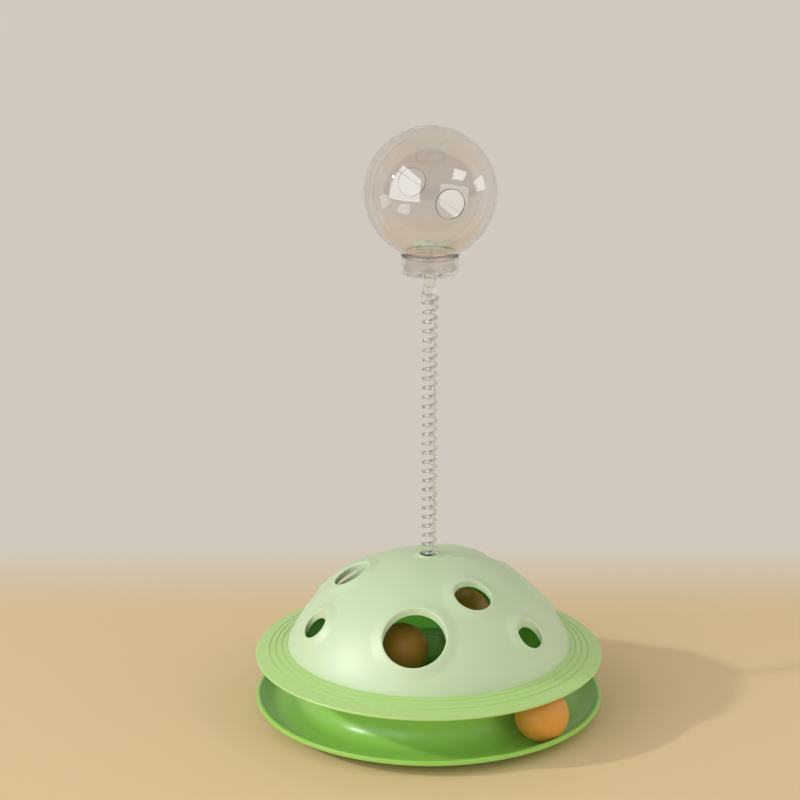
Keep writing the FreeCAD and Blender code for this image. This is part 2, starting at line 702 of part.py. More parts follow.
def make_treat_ball():
    """Hollow sphere with two treat holes, a flange on the cap's edge, and a neck inside the cap."""
    centre = (0.0, treat_centre)
    seat = cap_top + collar_gap
    inner_r = treat_r - treat_wall
    neck_in = neck_r - treat_wall
    flange_edge = flange_thickness / 4.0
    outer_angle = -math.degrees(math.acos(flange_meet / treat_r))
    inner_angle = -math.degrees(math.acos(neck_in / inner_r))
    sides = [arc_about(centre, treat_r, 90, outer_angle)]
    sides += chain((flange_meet, flange_top), (flange_r - flange_edge, flange_top),
                   (flange_r, flange_top - flange_edge), (flange_r, seat), (neck_r, seat),
                   (neck_r, neck_bottom), (neck_in, neck_bottom), on_circle(centre, inner_r, inner_angle))
    sides.append(arc_about(centre, inner_r, inner_angle, 90))
    sides += chain((0, treat_centre + inner_r), (0, treat_centre + treat_r))
    ball = revolved(sides)
    lug_top = lug_bottom + lug_height
    lugs = ring(neck_r - treat_wall / 2, neck_r + neck_gap + lug_depth - lug_gap, lug_bottom, lug_top)
    ball = ball.multiFuse([lugs.common(lug_wedge(turn, 0, lug_bottom, lug_top)) for turn in (0.0, 180.0)])
    bore = Part.makeCylinder(treat_hole_r, 4 * treat_r, Vector(0, 0, -2 * treat_r))
    bore.rotate(ORIGIN, Vector(1, 0, 0), 90)
    bore.rotate(ORIGIN, Z, treat_hole_azimuth)
    bore.translate(Vector(0, 0, treat_centre))
    return ball.cut(bore)


def make_foot(turn):
    foot = rod(foot_orbit, turn, foot_r, 0, foot_height)
    return foot.makeChamfer(foot_chamfer, [e for e in foot.Edges if e.BoundBox.ZMax < foot_chamfer])


def save_screws(name, radius, turns, height, length):
    for number, turn in enumerate(turns, 1):
        save("%s_%d" % (name, number), screw(at_turn(radius, turn, height), length))


def main():
    os.makedirs("parts", exist_ok=True)
    groove_floor = chamber_floor - ball_groove_depth
    save("track_dish", make_track_dish())
    save("deck", make_deck())
    save("dome_shell", make_dome())
    save("track_ball", make_ball(track_orbit, track_ball_azimuth, track_rest))
    save("chamber_ball_front", make_ball(chamber_orbit, front_ball_azimuth, groove_floor))
    save("chamber_ball_back", make_ball(chamber_orbit, back_ball_azimuth, groove_floor))
    save("spring_foot", make_spring_foot())
    save("wobble_spring", make_spring())
    save("ball_cap", make_cap())
    save("treat_ball", make_treat_ball())
    for number, turn in enumerate(foot_turns, 1):
        save("rubber_foot_%d" % number, make_foot(turn))
    save_screws("deck_screw", deck_screw_r, deck_screw_turns, web_top - web_thickness, deck_screw_length)
    save_screws("dome_screw", dome_screw_r, dome_screw_turns, dome_head_seat, dome_screw_length)
    save_screws("foot_screw", foot_screw_r, foot_screw_turns, foot_bottom, foot_screw_length)


main()
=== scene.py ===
import bpy, bmesh, math
from mathutils import Matrix, Vector
from mathutils.geometry import delaunay_2d_cdt


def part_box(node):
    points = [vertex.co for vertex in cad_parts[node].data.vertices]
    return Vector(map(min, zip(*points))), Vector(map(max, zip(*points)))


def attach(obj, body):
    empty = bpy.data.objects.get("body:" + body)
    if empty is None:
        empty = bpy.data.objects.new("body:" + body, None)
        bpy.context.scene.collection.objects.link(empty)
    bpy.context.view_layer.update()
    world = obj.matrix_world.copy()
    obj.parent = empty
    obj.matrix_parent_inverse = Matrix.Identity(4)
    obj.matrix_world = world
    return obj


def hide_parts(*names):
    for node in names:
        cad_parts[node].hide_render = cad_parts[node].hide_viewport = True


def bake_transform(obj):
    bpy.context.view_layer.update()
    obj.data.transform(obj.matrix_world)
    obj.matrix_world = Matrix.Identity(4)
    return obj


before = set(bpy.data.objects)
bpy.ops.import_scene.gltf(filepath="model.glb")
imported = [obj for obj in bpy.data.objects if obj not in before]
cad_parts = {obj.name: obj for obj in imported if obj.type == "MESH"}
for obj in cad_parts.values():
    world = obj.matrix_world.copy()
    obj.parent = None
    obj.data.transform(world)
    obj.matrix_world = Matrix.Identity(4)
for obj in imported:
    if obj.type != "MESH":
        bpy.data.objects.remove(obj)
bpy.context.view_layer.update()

# Camera. A long lens well in front of the toy and a little above it, which looks down at it.
# Its place, tilt and lens were fitted to the edges of the dish, the brim, the dome and the balls.
camera = bpy.data.objects.new("camera", bpy.data.cameras.new("camera"))
bpy.context.scene.collection.objects.link(camera)
camera.data.lens = 100
camera.data.sensor_width = 36
camera.location = (-0.0208, -1.501, 0.6524)
camera.rotation_euler = (math.radians(74.29), 0, 0)
bpy.context.scene.camera = camera
bpy.context.scene.view_settings.view_transform = "Standard"

# Studio. A plain pale floor keeps the shadow near the toy and fades into the room's colour.
# A tall softbox in two panels and a small strong lamp stand on the left, two small softboxes
# and a low fill on the right, and soft light comes from all round.
room_colour = (0.640, 0.585, 0.525, 1)
wall_colour = (0.26, 0.245, 0.235, 1)  # what gloss and clear plastic show of the room in front
wall_span = (-0.10, 0.04)              # backward part of a ray's way over which the room's takes over
soft_colour = (0.96, 0.98, 0.90, 1)
soft_strength = 0.49
lamp_colour = (0.92, 0.97, 1.0)
floor_colour = (0.85, 0.615, 0.350, 1)
floor_r = 9.0
floor_drop = 0.0002                    # keeps the floor just under the flat rubber feet
fade_behind = (0.17, 0.38)             # distance behind the axis over which the floor fades
fade_around = (0.40, 0.80)             # distance from the axis, to any side, over which it fades


def fill_inputs(tree, node, inputs):
    """Fills a shader node's inputs: a socket is linked there, and a plain value is set there."""
    for name, value in inputs.items():
        if isinstance(value, bpy.types.NodeSocket):
            tree.links.new(value, node.inputs[name])
        else:
            node.inputs[name].default_value = value


def add_node(tree, kind, inputs, **settings):
    """Adds a shader node with its settings and inputs, and returns its outputs."""
    node = tree.nodes.new("ShaderNode" + kind)
    for setting, value in settings.items():
        setattr(node, setting, value)
    fill_inputs(tree, node, inputs)
    return node.outputs


def soft_ramp(tree, value, start, end):
    """Rises softly from 0 to 1 as a value goes from start to end."""
    inputs = {"Value": value, "From Min": start, "From Max": end}
    return add_node(tree, "MapRange", inputs, interpolation_type="SMOOTHSTEP")["Result"]


def larger(tree, first, second):
    """The larger of two values."""
    return add_node(tree, "Math", {0: first, 1: second}, operation="MAXIMUM")["Value"]


def mixed_colour(tree, share, first, second):
    """A colour between two, by a share from 0 to 1."""
    return add_node(tree, "Mix", {"Factor": share, "A": first, "B": second}, data_type="RGBA")["Result"]


def looked_at(tree):
    """1 for a ray that shows the room to the camera: straight, through clear plastic or in gloss."""
    rays = add_node(tree, "LightPath", {})
    seen_or_clear = larger(tree, rays["Is Camera Ray"], rays["Is Transmission Ray"])
    return larger(tree, seen_or_clear, rays["Is Glossy Ray"])


floor_paint = bpy.data.materials.new("floor_paint")
floor_paint.use_nodes = True
tree = floor_paint.node_tree
fill_inputs(tree, tree.nodes["Principled BSDF"],
            {"Base Color": floor_colour, "Roughness": 0.75, "Specular IOR Level": 0.2})
place = add_node(tree, "NewGeometry", {})["Position"]
behind = add_node(tree, "SeparateXYZ", {"Vector": place})["Y"]
around = add_node(tree, "VectorMath", {0: place}, operation="LENGTH")["Value"]
faded = larger(tree, soft_ramp(tree, behind, *fade_behind), soft_ramp(tree, around, *fade_around))
share = add_node(tree, "Math", {0: faded, 1: looked_at(tree)}, operation="MULTIPLY")["Value"]
glow = add_node(tree, "Emission", {"Color": room_colour})["Emission"]
lit = tree.nodes["Principled BSDF"].outputs["BSDF"]
surface = add_node(tree, "MixShader", {"Fac": share, 1: lit, 2: glow})["Shader"]
fill_inputs(tree, tree.nodes["Material Output"], {"Surface": surface})

floor_mesh = bpy.data.meshes.new("floor")
floor_build = bmesh.new()
bmesh.ops.create_circle(floor_build, cap_ends=True, segments=96, radius=floor_r)
floor_build.to_mesh(floor_mesh)
floor_build.free()
floor_mesh.materials.append(floor_paint)
floor = bpy.data.objects.new("floor", floor_mesh)
floor.location.z = -floor_drop
bpy.context.scene.collection.objects.link(floor)

world = bpy.data.worlds.new("room")
bpy.context.scene.world = world
world.use_nodes = True
tree = world.node_tree
fill_inputs(tree, tree.nodes["Background"], {"Color": soft_colour, "Strength": soft_strength})
way = add_node(tree, "TexCoord", {})["Generated"]
depth = add_node(tree, "SeparateXYZ", {"Vector": way})["Y"]
seen_straight = add_node(tree, "LightPath", {})["Is Camera Ray"]
plain = larger(tree, soft_ramp(tree, depth, *wall_span), seen_straight)
walls = mixed_colour(tree, plain, wall_colour, room_colour)
room = add_node(tree, "Background", {"Color": walls})["Background"]
soft_light = tree.nodes["Background"].outputs["Background"]
surface = add_node(tree, "MixShader", {"Fac": looked_at(tree), 1: soft_light, 2: room})["Shader"]
fill_inputs(tree, tree.nodes["World Output"], {"Surface": surface})


def softbox(name, place, turn, width, height, power):
    """A rectangular lamp at a place, turned by angles in degrees, that shines along its own -Z."""
    lamp = bpy.data.objects.new(name, bpy.data.lights.new(name, "AREA"))
    bpy.context.scene.collection.objects.link(lamp)
    lamp.data.shape = "RECTANGLE"
    lamp.data.size = width
    lamp.data.size_y = height
    lamp.data.energy = power
    lamp.data.color = lamp_colour
    lamp.location = place
    lamp.rotation_euler = [math.radians(angle) for angle in turn]
    return lamp


tall_turn = (93.9, 4.2, -69.7)
tall_width = 3.14
softbox("tall_box_low", (-1.750, -2.132, 1.026), tall_turn, tall_width, 1.84, 29.0)
softbox("tall_box_high", (-1.804, -2.258, 2.412), tall_turn, tall_width, 0.78, 12.4)
softbox("right_box", (1.116, -0.641, 1.147), (11.8, -0.9, 13.3), 0.71, 0.54, 2.0)
softbox("side_box", (1.479, 0.130, 0.591), (47.9, 5.5, 110.8), 0.64, 0.48, 1.1)
softbox("key", (-2.690, -0.670, 1.650), (60.0, 0.0, -76.0), 0.13, 0.13, 35.0)
fill = softbox("fill", (1.500, -1.100, 0.300), (83.3, 0.0, 53.7), 1.10, 0.60, 5.0)
fill.visible_glossy = False
fill.visible_transmission = False

# Track dish. The lower green moulding: a turned-up lip, the track's floor and the wall of the hub.
# It is satin plastic from one mould, with a fine even grain and the faint mottling of dyed plastic.


def moulded_plastic(name, deep, light, roughness, grain=0.010, gloss=0.5, density=1.5):
    """Satin plastic: a slow change between two shades, and a fine grain in its gloss and surface."""
    paint = bpy.data.materials.new(name)
    paint.use_nodes = True
    tree = paint.node_tree
    place = add_node(tree, "TexCoord", {})["Object"]
    cloud = add_node(tree, "TexNoise", {"Vector": place, "Scale": 22.0, "Detail": 3.0})["Fac"]
    fine = add_node(tree, "TexNoise", {"Vector": place, "Scale": 900.0, "Detail": 2.0})["Fac"]
    sheen = {"Value": fine, "To Min": roughness - 0.05, "To Max": roughness + 0.05}
    relief = {"Height": fine, "Strength": grain, "Distance": 0.001}
    fill_inputs(tree, tree.nodes["Principled BSDF"], {
        "Base Color": mixed_colour(tree, cloud, (*deep, 1), (*light, 1)),
        "Roughness": add_node(tree, "MapRange", sheen)["Result"],
        "Normal": add_node(tree, "Bump", relief)["Normal"],
        "Specular IOR Level": gloss,
        "IOR": density})
    return paint


def finish_node(name, paint):
    """Gives a node of the construction its own finish."""
    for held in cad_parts[name].material_slots:
        held.material = paint


dish_green = moulded_plastic("dish_green", (0.330, 0.620, 0.105), (0.355, 0.655, 0.120), 0.30,
                             grain=0.006, gloss=0.6)
finish_node("track_dish", dish_green)

# Deck. The upper green moulding: the sloping brim with its three fine grooves, the seat of the dome
# and the floor of the ball chamber. Screws from below hold it to the dish. The brim is painted a
# lighter green than the dish, as painted light on its upward face, and the floor under the dome a
# deeper green, as painted shade.
# The brim's green is painted lighter than the dish's, as painted light on its upward face.
deck_green_painted_light = moulded_plastic("deck_green_painted_light", (0.455, 0.680, 0.215), (0.485, 0.715, 0.235), 0.36, gloss=0.8)
# Under the dome the deck is painted a deeper green, as painted shade.
painted_shade_green = (0.200, 0.580, 0.060, 1)
painted_shade_r = 0.1000                        # radius inside which the deck is painted a deeper green, as painted shade under the dome
painted_shade_blend = 0.0010                    # half the width of the change at that radius
tree = deck_green_painted_light.node_tree
place = add_node(tree, "TexCoord", {})["Object"]
level = add_node(tree, "VectorMath", {0: place, 1: (1, 1, 0)}, operation="MULTIPLY")["Vector"]
across = add_node(tree, "VectorMath", {0: level}, operation="LENGTH")["Value"]
painted_shade_span = {"Value": across, "From Min": painted_shade_r + painted_shade_blend, "From Max": painted_shade_r - painted_shade_blend}
brim_painted_lit = tree.nodes["Principled BSDF"].inputs["Base Color"].links[0].from_socket
painted_light_tone = mixed_colour(tree, add_node(tree, "MapRange", painted_shade_span)["Result"], brim_painted_lit, painted_shade_green)
fill_inputs(tree, tree.nodes["Principled BSDF"], {"Base Color": painted_light_tone})
finish_node("deck", deck_green_painted_light)

# Dome. One pale mint moulding with nine paw holes and a green inside face. Each paw hole has a raised
# rim that runs out softly into the dome, and an upright wall, as the mould opens upwards. The foot
# stands in the deck's groove, and bosses inside take the screws from the deck and the spring foot.
dome_mint = moulded_plastic("dome_mint", (0.565, 0.695, 0.430), (0.600, 0.730, 0.460), 0.50,
                            gloss=1.0, density=1.6)
inside_green = moulded_plastic("inside_green", (0.230, 0.700, 0.055), (0.250, 0.740, 0.065), 0.45, gloss=0.2)
mint, green = 0, 1                     # places of the two finishes in the dome's mesh
wall = 0.0024
crown_r = 0.11198                      # section radius of the dome's upper part
shoulder_r = 0.0450                    # section radius between that part and the foot
foot_lean = math.radians(15.8)         # lean of the dome's side where it meets the brim
top_rim_rise = 0.0005                  # height of the low ring round the top hole
top_rim_drop = 0.0014                  # depth of that ring under the dome's inside face
top_hole_r, top_rim_r = 0.0062, 0.0088
top_outer_r, top_inner_r = 0.0093, 0.0090  # where that ring meets the dome's outer and inside face
top_round = 0.0006                     # rounding of that ring's upper edges
rim_rise = 0.0018                      # height of a paw hole's rim over the dome
rim_edge = 0.0012                      # rounding of that rim towards the hole
rim_spread = 0.0096                    # width of the rim and its slope
rim_bands, edge_bands = 14, 7          # bands of faces over the slope and over the rounded edge
wall_shares = (0.5, 0.95, 1.0)         # how far down a paw hole's wall its rings lie
outer_spacing, inner_spacing = 0.0034, 0.0050
foot_count, top_count = 240, 64        # corners of the rings at the foot and at the top hole

dome_low, dome_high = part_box("dome_shell")
brim_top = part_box("deck")[1].z
dome_top = dome_high.z - top_rim_rise
shoulder_x = dome_high.x - shoulder_r * math.cos(foot_lean)
shoulder_z = brim_top - shoulder_r * math.sin(foot_lean)
crown_z = dome_top - crown_r
shoulder_start = math.atan2(shoulder_x, shoulder_z - crown_z)
crown_arc = crown_r * shoulder_start
dome_arc = crown_arc + shoulder_r * (math.pi / 2 - foot_lean - shoulder_start)


def dome_point(arc, turn, out):
    """A point on the dome by its arc from the top and its turn about Z, and out from the face."""
    if arc < crown_arc:
        lean = arc / crown_r
        across, up = (crown_r + out) * math.sin(lean), crown_z + (crown_r + out) * math.cos(lean)
    else:
        lean = shoulder_start + (arc - crown_arc) / shoulder_r
        across = shoulder_x + (shoulder_r + out) * math.sin(lean)
        up = shoulder_z + (shoulder_r + out) * math.cos(lean)
    return Vector((across * math.cos(turn), across * math.sin(turn), up))


def inside_place(point):
    """The arc and turn of the place on the inside face that is straight over or under a point."""
    across = math.hypot(point.x, point.y)
    lean = math.asin(across / (crown_r - wall))
    arc = crown_r * lean
    if lean > shoulder_start:
        lean = math.asin((across - shoulder_x) / (shoulder_r - wall))
        arc = crown_arc + shoulder_r * (lean - shoulder_start)
    return arc, math.atan2(point.y, point.x)


def inside_point(point):
    """The point of the inside face that is straight over or under a point."""
    return dome_point(*inside_place(point), -wall)


def flat_place(arc, turn):
    """A place on the dome laid out flat, with the dome's top at the origin."""
    return arc * math.cos(turn), arc * math.sin(turn)


def equal_turns(count):
    """Angles of equal steps once round."""
    return [2 * math.pi * step / count for step in range(count)]


def level_circle(radius, height, count):
    """Points of a level circle round the axis."""
    return [Vector((radius * math.cos(turn), radius * math.sin(turn), height)) for turn in equal_turns(count)]


def add_ring(build, points):
    """New corners at a ring's points."""
    return [build.verts.new(point) for point in points]


def join_rings(build, rings, finish=0):
    """Bands of four-sided faces from each ring to the next, which has as many corners."""
    for first, second in zip(rings, rings[1:]):
        for i in range(len(first)):
            j = (i + 1) % len(first)
            build.faces.new((first[i], first[j], second[j], second[i])).material_index = finish


class PawHole:
    """A paw hole by its bore radius, its turn about Z and its tilt from the top in degrees."""

    def __init__(self, bore, turn, tilt, corners):
        self.bore, self.corners = bore, corners
        turn, tilt = math.radians(turn), math.radians(tilt)
        level = Vector((math.sin(turn), -math.cos(turn), 0))
        self.axis = level * math.sin(tilt) + Vector((0, 0, math.cos(tilt)))
        self.side = Vector((0, 0, 1)).cross(self.axis).normalized()
        self.up = self.axis.cross(self.side)

    def spokes(self):
        """Directions at right angles to the hole's axis, one for each corner of its rings."""
        return [self.side * math.cos(turn) + self.up * math.sin(turn) for turn in equal_turns(self.corners)]

    def ring_on_dome(self, angle, out):
        """Flat places and points of a ring on the dome, at an angle off the hole's axis."""
        flat, points = [], []
        for spoke in self.spokes():
            way = self.axis * math.cos(angle) + spoke * math.sin(angle)
            arc, turn = crown_r * math.acos(way.z), math.atan2(way.y, way.x)
            flat.append(flat_place(arc, turn))
            points.append(dome_point(arc, turn, out))
        return flat, points

    def wall_top(self):
        """Points of the sharp corner over the upright wall, which the rim's edge rounds off."""
        height = math.sqrt(crown_r ** 2 - self.bore ** 2) + rim_rise
        middle = self.axis * height + Vector((0, 0, crown_z))
        return [middle + spoke * self.bore for spoke in self.spokes()]


def add_paw_hole(build, hole):
    """Adds a hole's rim and wall, and returns their edges on the dome's outer and inside face."""
    foot_angle = math.asin((hole.bore + rim_spread) / crown_r)
    crest_angle = math.asin((hole.bore + rim_edge) / (crown_r + rim_rise))
    slope = []
    for band in range(rim_bands, -1, -1):
        share = band / rim_bands
        swell = rim_rise * (1 - share) ** 2 * (1 + 1.5 * share)
        slope.append(hole.ring_on_dome(crest_angle + (foot_angle - crest_angle) * share, swell))
    outlines = [points for flat, points in slope]
    crest, corners = outlines[-1], hole.wall_top()
    below = [corner - Vector((0, 0, rim_edge)) for corner in corners]
    for band in range(1, edge_bands + 1):
        share = band / edge_bands
        outlines.append([a * (1 - share) ** 2 + b * (2 * share * (1 - share)) + c * share ** 2
                         for a, b, c in zip(crest, corners, below)])
    ends = [inside_point(corner) for corner in corners]
    for share in wall_shares:
        outlines.append([a.lerp(b, share) for a, b in zip(below, ends)])
    rings = [add_ring(build, points) for points in outlines]
    join_rings(build, rings, mint)
    inner_flat = [flat_place(*inside_place(corner)) for corner in corners]
    return (slope[0][0], rings[0]), (inner_flat, rings[-1])


def opening(ring):
    """A ring of flat places that stays open, with its middle and its reach from there."""
    middle = [sum(values) / len(ring) for values in zip(*ring)]
    return ring, middle, max(math.dist(middle, corner) for corner in ring)


def in_opening(place, ring, middle, reach, margin):
    """Whether a flat place lies inside a ring, or within a margin of it."""
    if math.dist(middle, place) > reach + margin:
        return False
    if min(math.dist(place, corner) for corner in ring) < margin:
        return True
    # A place inside has an odd number of the ring's sides to its right
    inside = False
    for a, b in zip(ring, ring[1:] + ring[:1]):
        if (a[1] > place[1]) != (b[1] > place[1]):
            if place[0] < a[0] + (b[0] - a[0]) * (place[1] - a[1]) / (b[1] - a[1]):
                inside = not inside
    return inside


def is_open(place, openings, margin):
    """Whether a flat place lies in one of the openings, or within a margin of one's ring."""
    return any(in_opening(place, *one, margin) for one in openings)


def dome_skin(build, edges, out, spacing, finish):
    """Fills a face of the dome between the foot's ring, which comes first, and the holes' rings."""
    flat, corners, borders = [], [], []
    for ring, verts in edges:
        borders += [(len(flat) + i, len(flat) + (i + 1) % len(ring)) for i in range(len(ring))]
        flat += ring
        corners += verts
    openings = [opening(ring) for ring, verts in edges[1:]]
    rows = int(dome_arc / spacing)
    for row in range(1, rows):
        arc = dome_arc * row / rows
        count = max(int(2 * math.pi * arc / spacing), 6)
        for turn in equal_turns(count):
            turn += math.pi / count * (row % 2)
            place = flat_place(arc, turn)
            if not is_open(place, openings, spacing / 2):
                flat.append(place)
                corners.append(build.verts.new(dome_point(arc, turn, out)))
    millimetres = [Vector(place) * 1000 for place in flat]
    found = delaunay_2d_cdt(millimetres, borders, [], 0, 1e-6)
    faces, sources = found[2], found[3]
    for face in faces:
        used = [sources[i][0] for i in face]
        middle = [sum(values) / len(used) for values in zip(*(flat[i] for i in used))]
        if not is_open(middle, openings, 0.0):
            build.faces.new([corners[i] for i in used]).material_index = finish


def crown_height(radius, out):
    """Height of the crown's face, or of a face that is out from it, at a radius from the axis."""
    return crown_z + math.sqrt((crown_r + out) ** 2 - radius ** 2)


def crown_edge(radius, out, ring):
    """A ring round the top hole, with its flat places, as an edge of the dome's face."""
    arc = crown_r * math.asin(radius / (crown_r + out))
    return [flat_place(arc, turn) for turn in equal_turns(top_count)], ring


dome_build = bmesh.new()
outer_foot = add_ring(dome_build, [dome_point(dome_arc, turn, 0.0) for turn in equal_turns(foot_count)])
inner_foot = add_ring(dome_build, [dome_point(dome_arc, turn, -wall) for turn in equal_turns(foot_count)])
outer_low = add_ring(dome_build, level_circle(outer_foot[0].co.x, dome_low.z, foot_count))
inner_low = add_ring(dome_build, level_circle(inner_foot[0].co.x, dome_low.z, foot_count))
join_rings(dome_build, [outer_foot, outer_low, inner_low], mint)
join_rings(dome_build, [inner_low, inner_foot], green)

# Steps to the side and down over one rounded edge of the ring round the top hole
roundings = [(top_round * (1 - math.cos(turn)), top_round * (1 - math.sin(turn)))
             for turn in (0, math.pi / 4, math.pi / 2)]
ring_bottom = dome_top - wall - top_rim_drop
top_section = [(top_outer_r, crown_height(top_outer_r, 0.0))]
top_section += [(top_rim_r - aside, dome_high.z - down) for aside, down in roundings]
top_section += [(top_hole_r + aside, dome_high.z - down) for aside, down in reversed(roundings)]
top_section += [(top_hole_r, ring_bottom), (top_rim_r, ring_bottom)]
top_section += [(top_inner_r, crown_height(top_inner_r, -wall))]
top_rings = [add_ring(dome_build, level_circle(radius, height, top_count))
             for radius, height in top_section]
join_rings(dome_build, top_rings, mint)

flat_foot = [flat_place(dome_arc, turn) for turn in equal_turns(foot_count)]
outer_edges = [(flat_foot, outer_foot), crown_edge(top_outer_r, 0.0, top_rings[0])]
inner_edges = [(flat_foot, inner_foot), crown_edge(top_inner_r, -wall, top_rings[-1])]
thirds = (0, 120, 240)                 # turns of the dome's three like parts
hole_turn = -8.0                       # turn of the first large hole from the front
hole_kinds = (                         # bore, turn from the large hole, tilt, corners
    (0.0220, 0.0, 45.0, 144),
    (0.0108, 61.0, 50.5, 88),
    (0.0135, 40.5, 29.5, 104))
for third_turn in thirds:
    for bore, turn, tilt, corners in hole_kinds:
        hole = PawHole(bore, hole_turn + third_turn + turn, tilt, corners)
        outer_edge, inner_edge = add_paw_hole(dome_build, hole)
        outer_edges.append(outer_edge)
        inner_edges.append(inner_edge)
dome_skin(dome_build, outer_edges, 0.0, outer_spacing, mint)
dome_skin(dome_build, inner_edges, -wall, inner_spacing, green)


def turned_about(build, section, centre, count, finish=0):
    """A body turned about an upright line through centre, from a section of radii and heights."""
    rings = []
    for radius, height in section:
        corners = 1 if radius == 0 else count
        rings.append(add_ring(build, [Vector(centre) + p for p in level_circle(radius, height, corners)]))
    for first, second in zip(rings, rings[1:]):
        if len(first) == len(second):
            join_rings(build, [first, second], finish)
        else:
            tip, ring = sorted((first, second), key=len)
            for i in range(count):
                build.faces.new((tip[0], ring[i], ring[(i + 1) % count])).material_index = finish
    return rings


pilot_r = 0.00155                      # radius of the pilot holes, which end in a point
boss_edge = 0.0004                     # small chamfer round a boss's end
boss_sides = 32
boss_sink = 0.3 * wall                 # how far a boss runs into the dome's wall
deck_boss_turn = 22.0                  # turn of the first of the three deck bosses from the front
foot_boss_turns = (70.0, 250.0)
# Distance from the axis, radius, height of the lower end and depth of the pilot hole
deck_boss = (0.0920, 0.0042, dome_low.z + 0.0004, 0.0105)
foot_boss = (0.0135, 0.0032, dome_top - 0.0120, 0.0065)


def screw_boss(turn, reach, radius, bottom, depth):
    """A post inside the dome that runs up into its wall, with a pilot hole for its screw."""
    place = Vector((reach * math.sin(math.radians(turn)), -reach * math.cos(math.radians(turn)), 0))
    section = [(0, bottom + depth), (pilot_r, bottom + depth - pilot_r), (pilot_r, bottom),
               (radius - boss_edge, bottom), (radius, bottom + boss_edge)]
    low = turned_about(dome_build, section, place, boss_sides, green)[-1]
    high = add_ring(dome_build, [inside_point(vert.co) + Vector((0, 0, boss_sink)) for vert in low])
    join_rings(dome_build, [low, high], green)
    dome_build.faces.new(high).material_index = green


for third_turn in thirds:
    screw_boss(deck_boss_turn + third_turn, *deck_boss)
for turn in foot_boss_turns:
    screw_boss(turn, *foot_boss)


def as_piece(build, name, body, paints, sharp=32):
    """A piece of a mesh that is smooth up to its sharp edges, hung on its body if it has only one."""
    bmesh.ops.recalc_face_normals(build, faces=build.faces)
    mesh = bpy.data.meshes.new(name)
    build.to_mesh(mesh)
    build.free()
    for face in mesh.polygons:
        face.use_smooth = True
    mesh.set_sharp_from_angle(angle=math.radians(sharp))
    for paint in paints:
        mesh.materials.append(paint)
    piece = bpy.data.objects.new(name, mesh)
    bpy.context.scene.collection.objects.link(piece)
    if body:
        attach(piece, body)
    return piece


dome = as_piece(dome_build, "dome", "base", [dome_mint, inside_green])
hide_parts("dome_shell")

# Balls. Three hollow orange-tan balls with a satin face, each of two moulded halves that are joined
# at a fine seam. One rolls in the outer track, and two on the round groove under the dome.
ball_orange = moulded_plastic("ball_orange", (0.700, 0.305, 0.048), (0.750, 0.335, 0.056), 0.42)
ball_rows, ball_sides = 24, 96         # rows of faces from pole to seam, and faces once round
seam_depth, seam_width = 0.00018, 0.00047


def rolling_ball(name, body, node, seam_turn, seam_lean):
    """A ball in its node's place, with its seam leant about X and turned about Z, in degrees."""
    low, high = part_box(node)
    ball_r = (high.z - low.z) / 2
    leans = [math.pi / 2 * row / ball_rows for row in range(1, ball_rows)]
    upper = [(0, ball_r)] + [(ball_r * math.sin(lean), ball_r * math.cos(lean)) for lean in leans]
    upper.append((ball_r, seam_width / 2))
    lower = [(radius, -height) for radius, height in reversed(upper)]
    build = bmesh.new()
    turned_about(build, upper + [(ball_r - seam_depth, 0)] + lower, (0, 0, 0), ball_sides)
    place = (Matrix.Translation((low + high) / 2) @ Matrix.Rotation(math.radians(seam_turn), 4, "Z")
             @ Matrix.Rotation(math.radians(seam_lean), 4, "X"))
    bmesh.ops.transform(build, matrix=place, verts=build.verts)
    ball = as_piece(build, name, body, [ball_orange], sharp=60)
    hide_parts(node)


rolling_ball("orange_ball_track", "track_ball", "track_ball", 30, 68)
rolling_ball("orange_ball_front", "front_ball", "chamber_ball_front", 75, 40)
rolling_ball("orange_ball_back", "back_ball", "chamber_ball_back", -20, 55)

# Screws. Zinc-plated steel screws from below hold the deck to the dish, the dome to the deck and the
# spring foot to the dome. Their faces are bright, with a fine uneven wear.
screw_zinc = bpy.data.materials.new("screw_zinc")
screw_zinc.use_nodes = True
tree = screw_zinc.node_tree
place = add_node(tree, "TexCoord", {})["Object"]
uneven = add_node(tree, "TexNoise", {"Vector": place, "Scale": 1500.0})["Fac"]
worn = add_node(tree, "MapRange", {"Value": uneven, "To Min": 0.25, "To Max": 0.50})["Result"]
fill_inputs(tree, tree.nodes["Principled BSDF"],
            {"Base Color": (0.58, 0.58, 0.57, 1), "Metallic": 1.0, "Roughness": worn})
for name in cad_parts:
    if "_screw_" in name:
        finish_node(name, screw_zinc)

# Rubber feet. Four flat round pads of dark rubber, glued into recesses under the dish, that keep the
# toy from sliding.
foot_rubber = moulded_plastic("foot_rubber", (0.014, 0.014, 0.014), (0.024, 0.024, 0.023), 0.75,
                              grain=0.06, gloss=0.3)
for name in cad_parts:
    if name.startswith("rubber_foot"):
        finish_node(name, foot_rubber)

# Spring foot. A moulding of the deck's plastic under the top of the dome, with a cup and a peg that
# grip the lower end of the spring. Two screws hold it to the dome's bosses.
# With the deck's finish it takes the deeper green that is painted there as shade under the dome.
finish_node("spring_foot", deck_green_painted_light)

# Wobble spring. One clear plastic wire wound right-handed from the spring foot up to the peg of the
# cap, where its last turn is wider. It is made in two lengths that meet halfway up.


def clear_plastic(name, tint, face_ior):
    """Clear moulded plastic with a slight tint, a faint waviness and a bright smooth face."""
    paint = bpy.data.materials.new(name)
    paint.use_nodes = True
    tree = paint.node_tree
    place = add_node(tree, "TexCoord", {})["Object"]
    wave = add_node(tree, "TexNoise", {"Vector": place, "Scale": 60.0})["Fac"]
    relief = {"Height": wave, "Strength": 0.04, "Distance": 0.001}
    fill_inputs(tree, tree.nodes["Principled BSDF"], {
        "Base Color": (*tint, 1),
        "Roughness": 0.0,
        "IOR": 1.49,
        "Transmission Weight": 1.0,
        "Coat Weight": 1.0,
        "Coat IOR": face_ior,
        "Coat Roughness": 0.02,
        "Normal": add_node(tree, "Bump", relief)["Normal"]})
    return paint


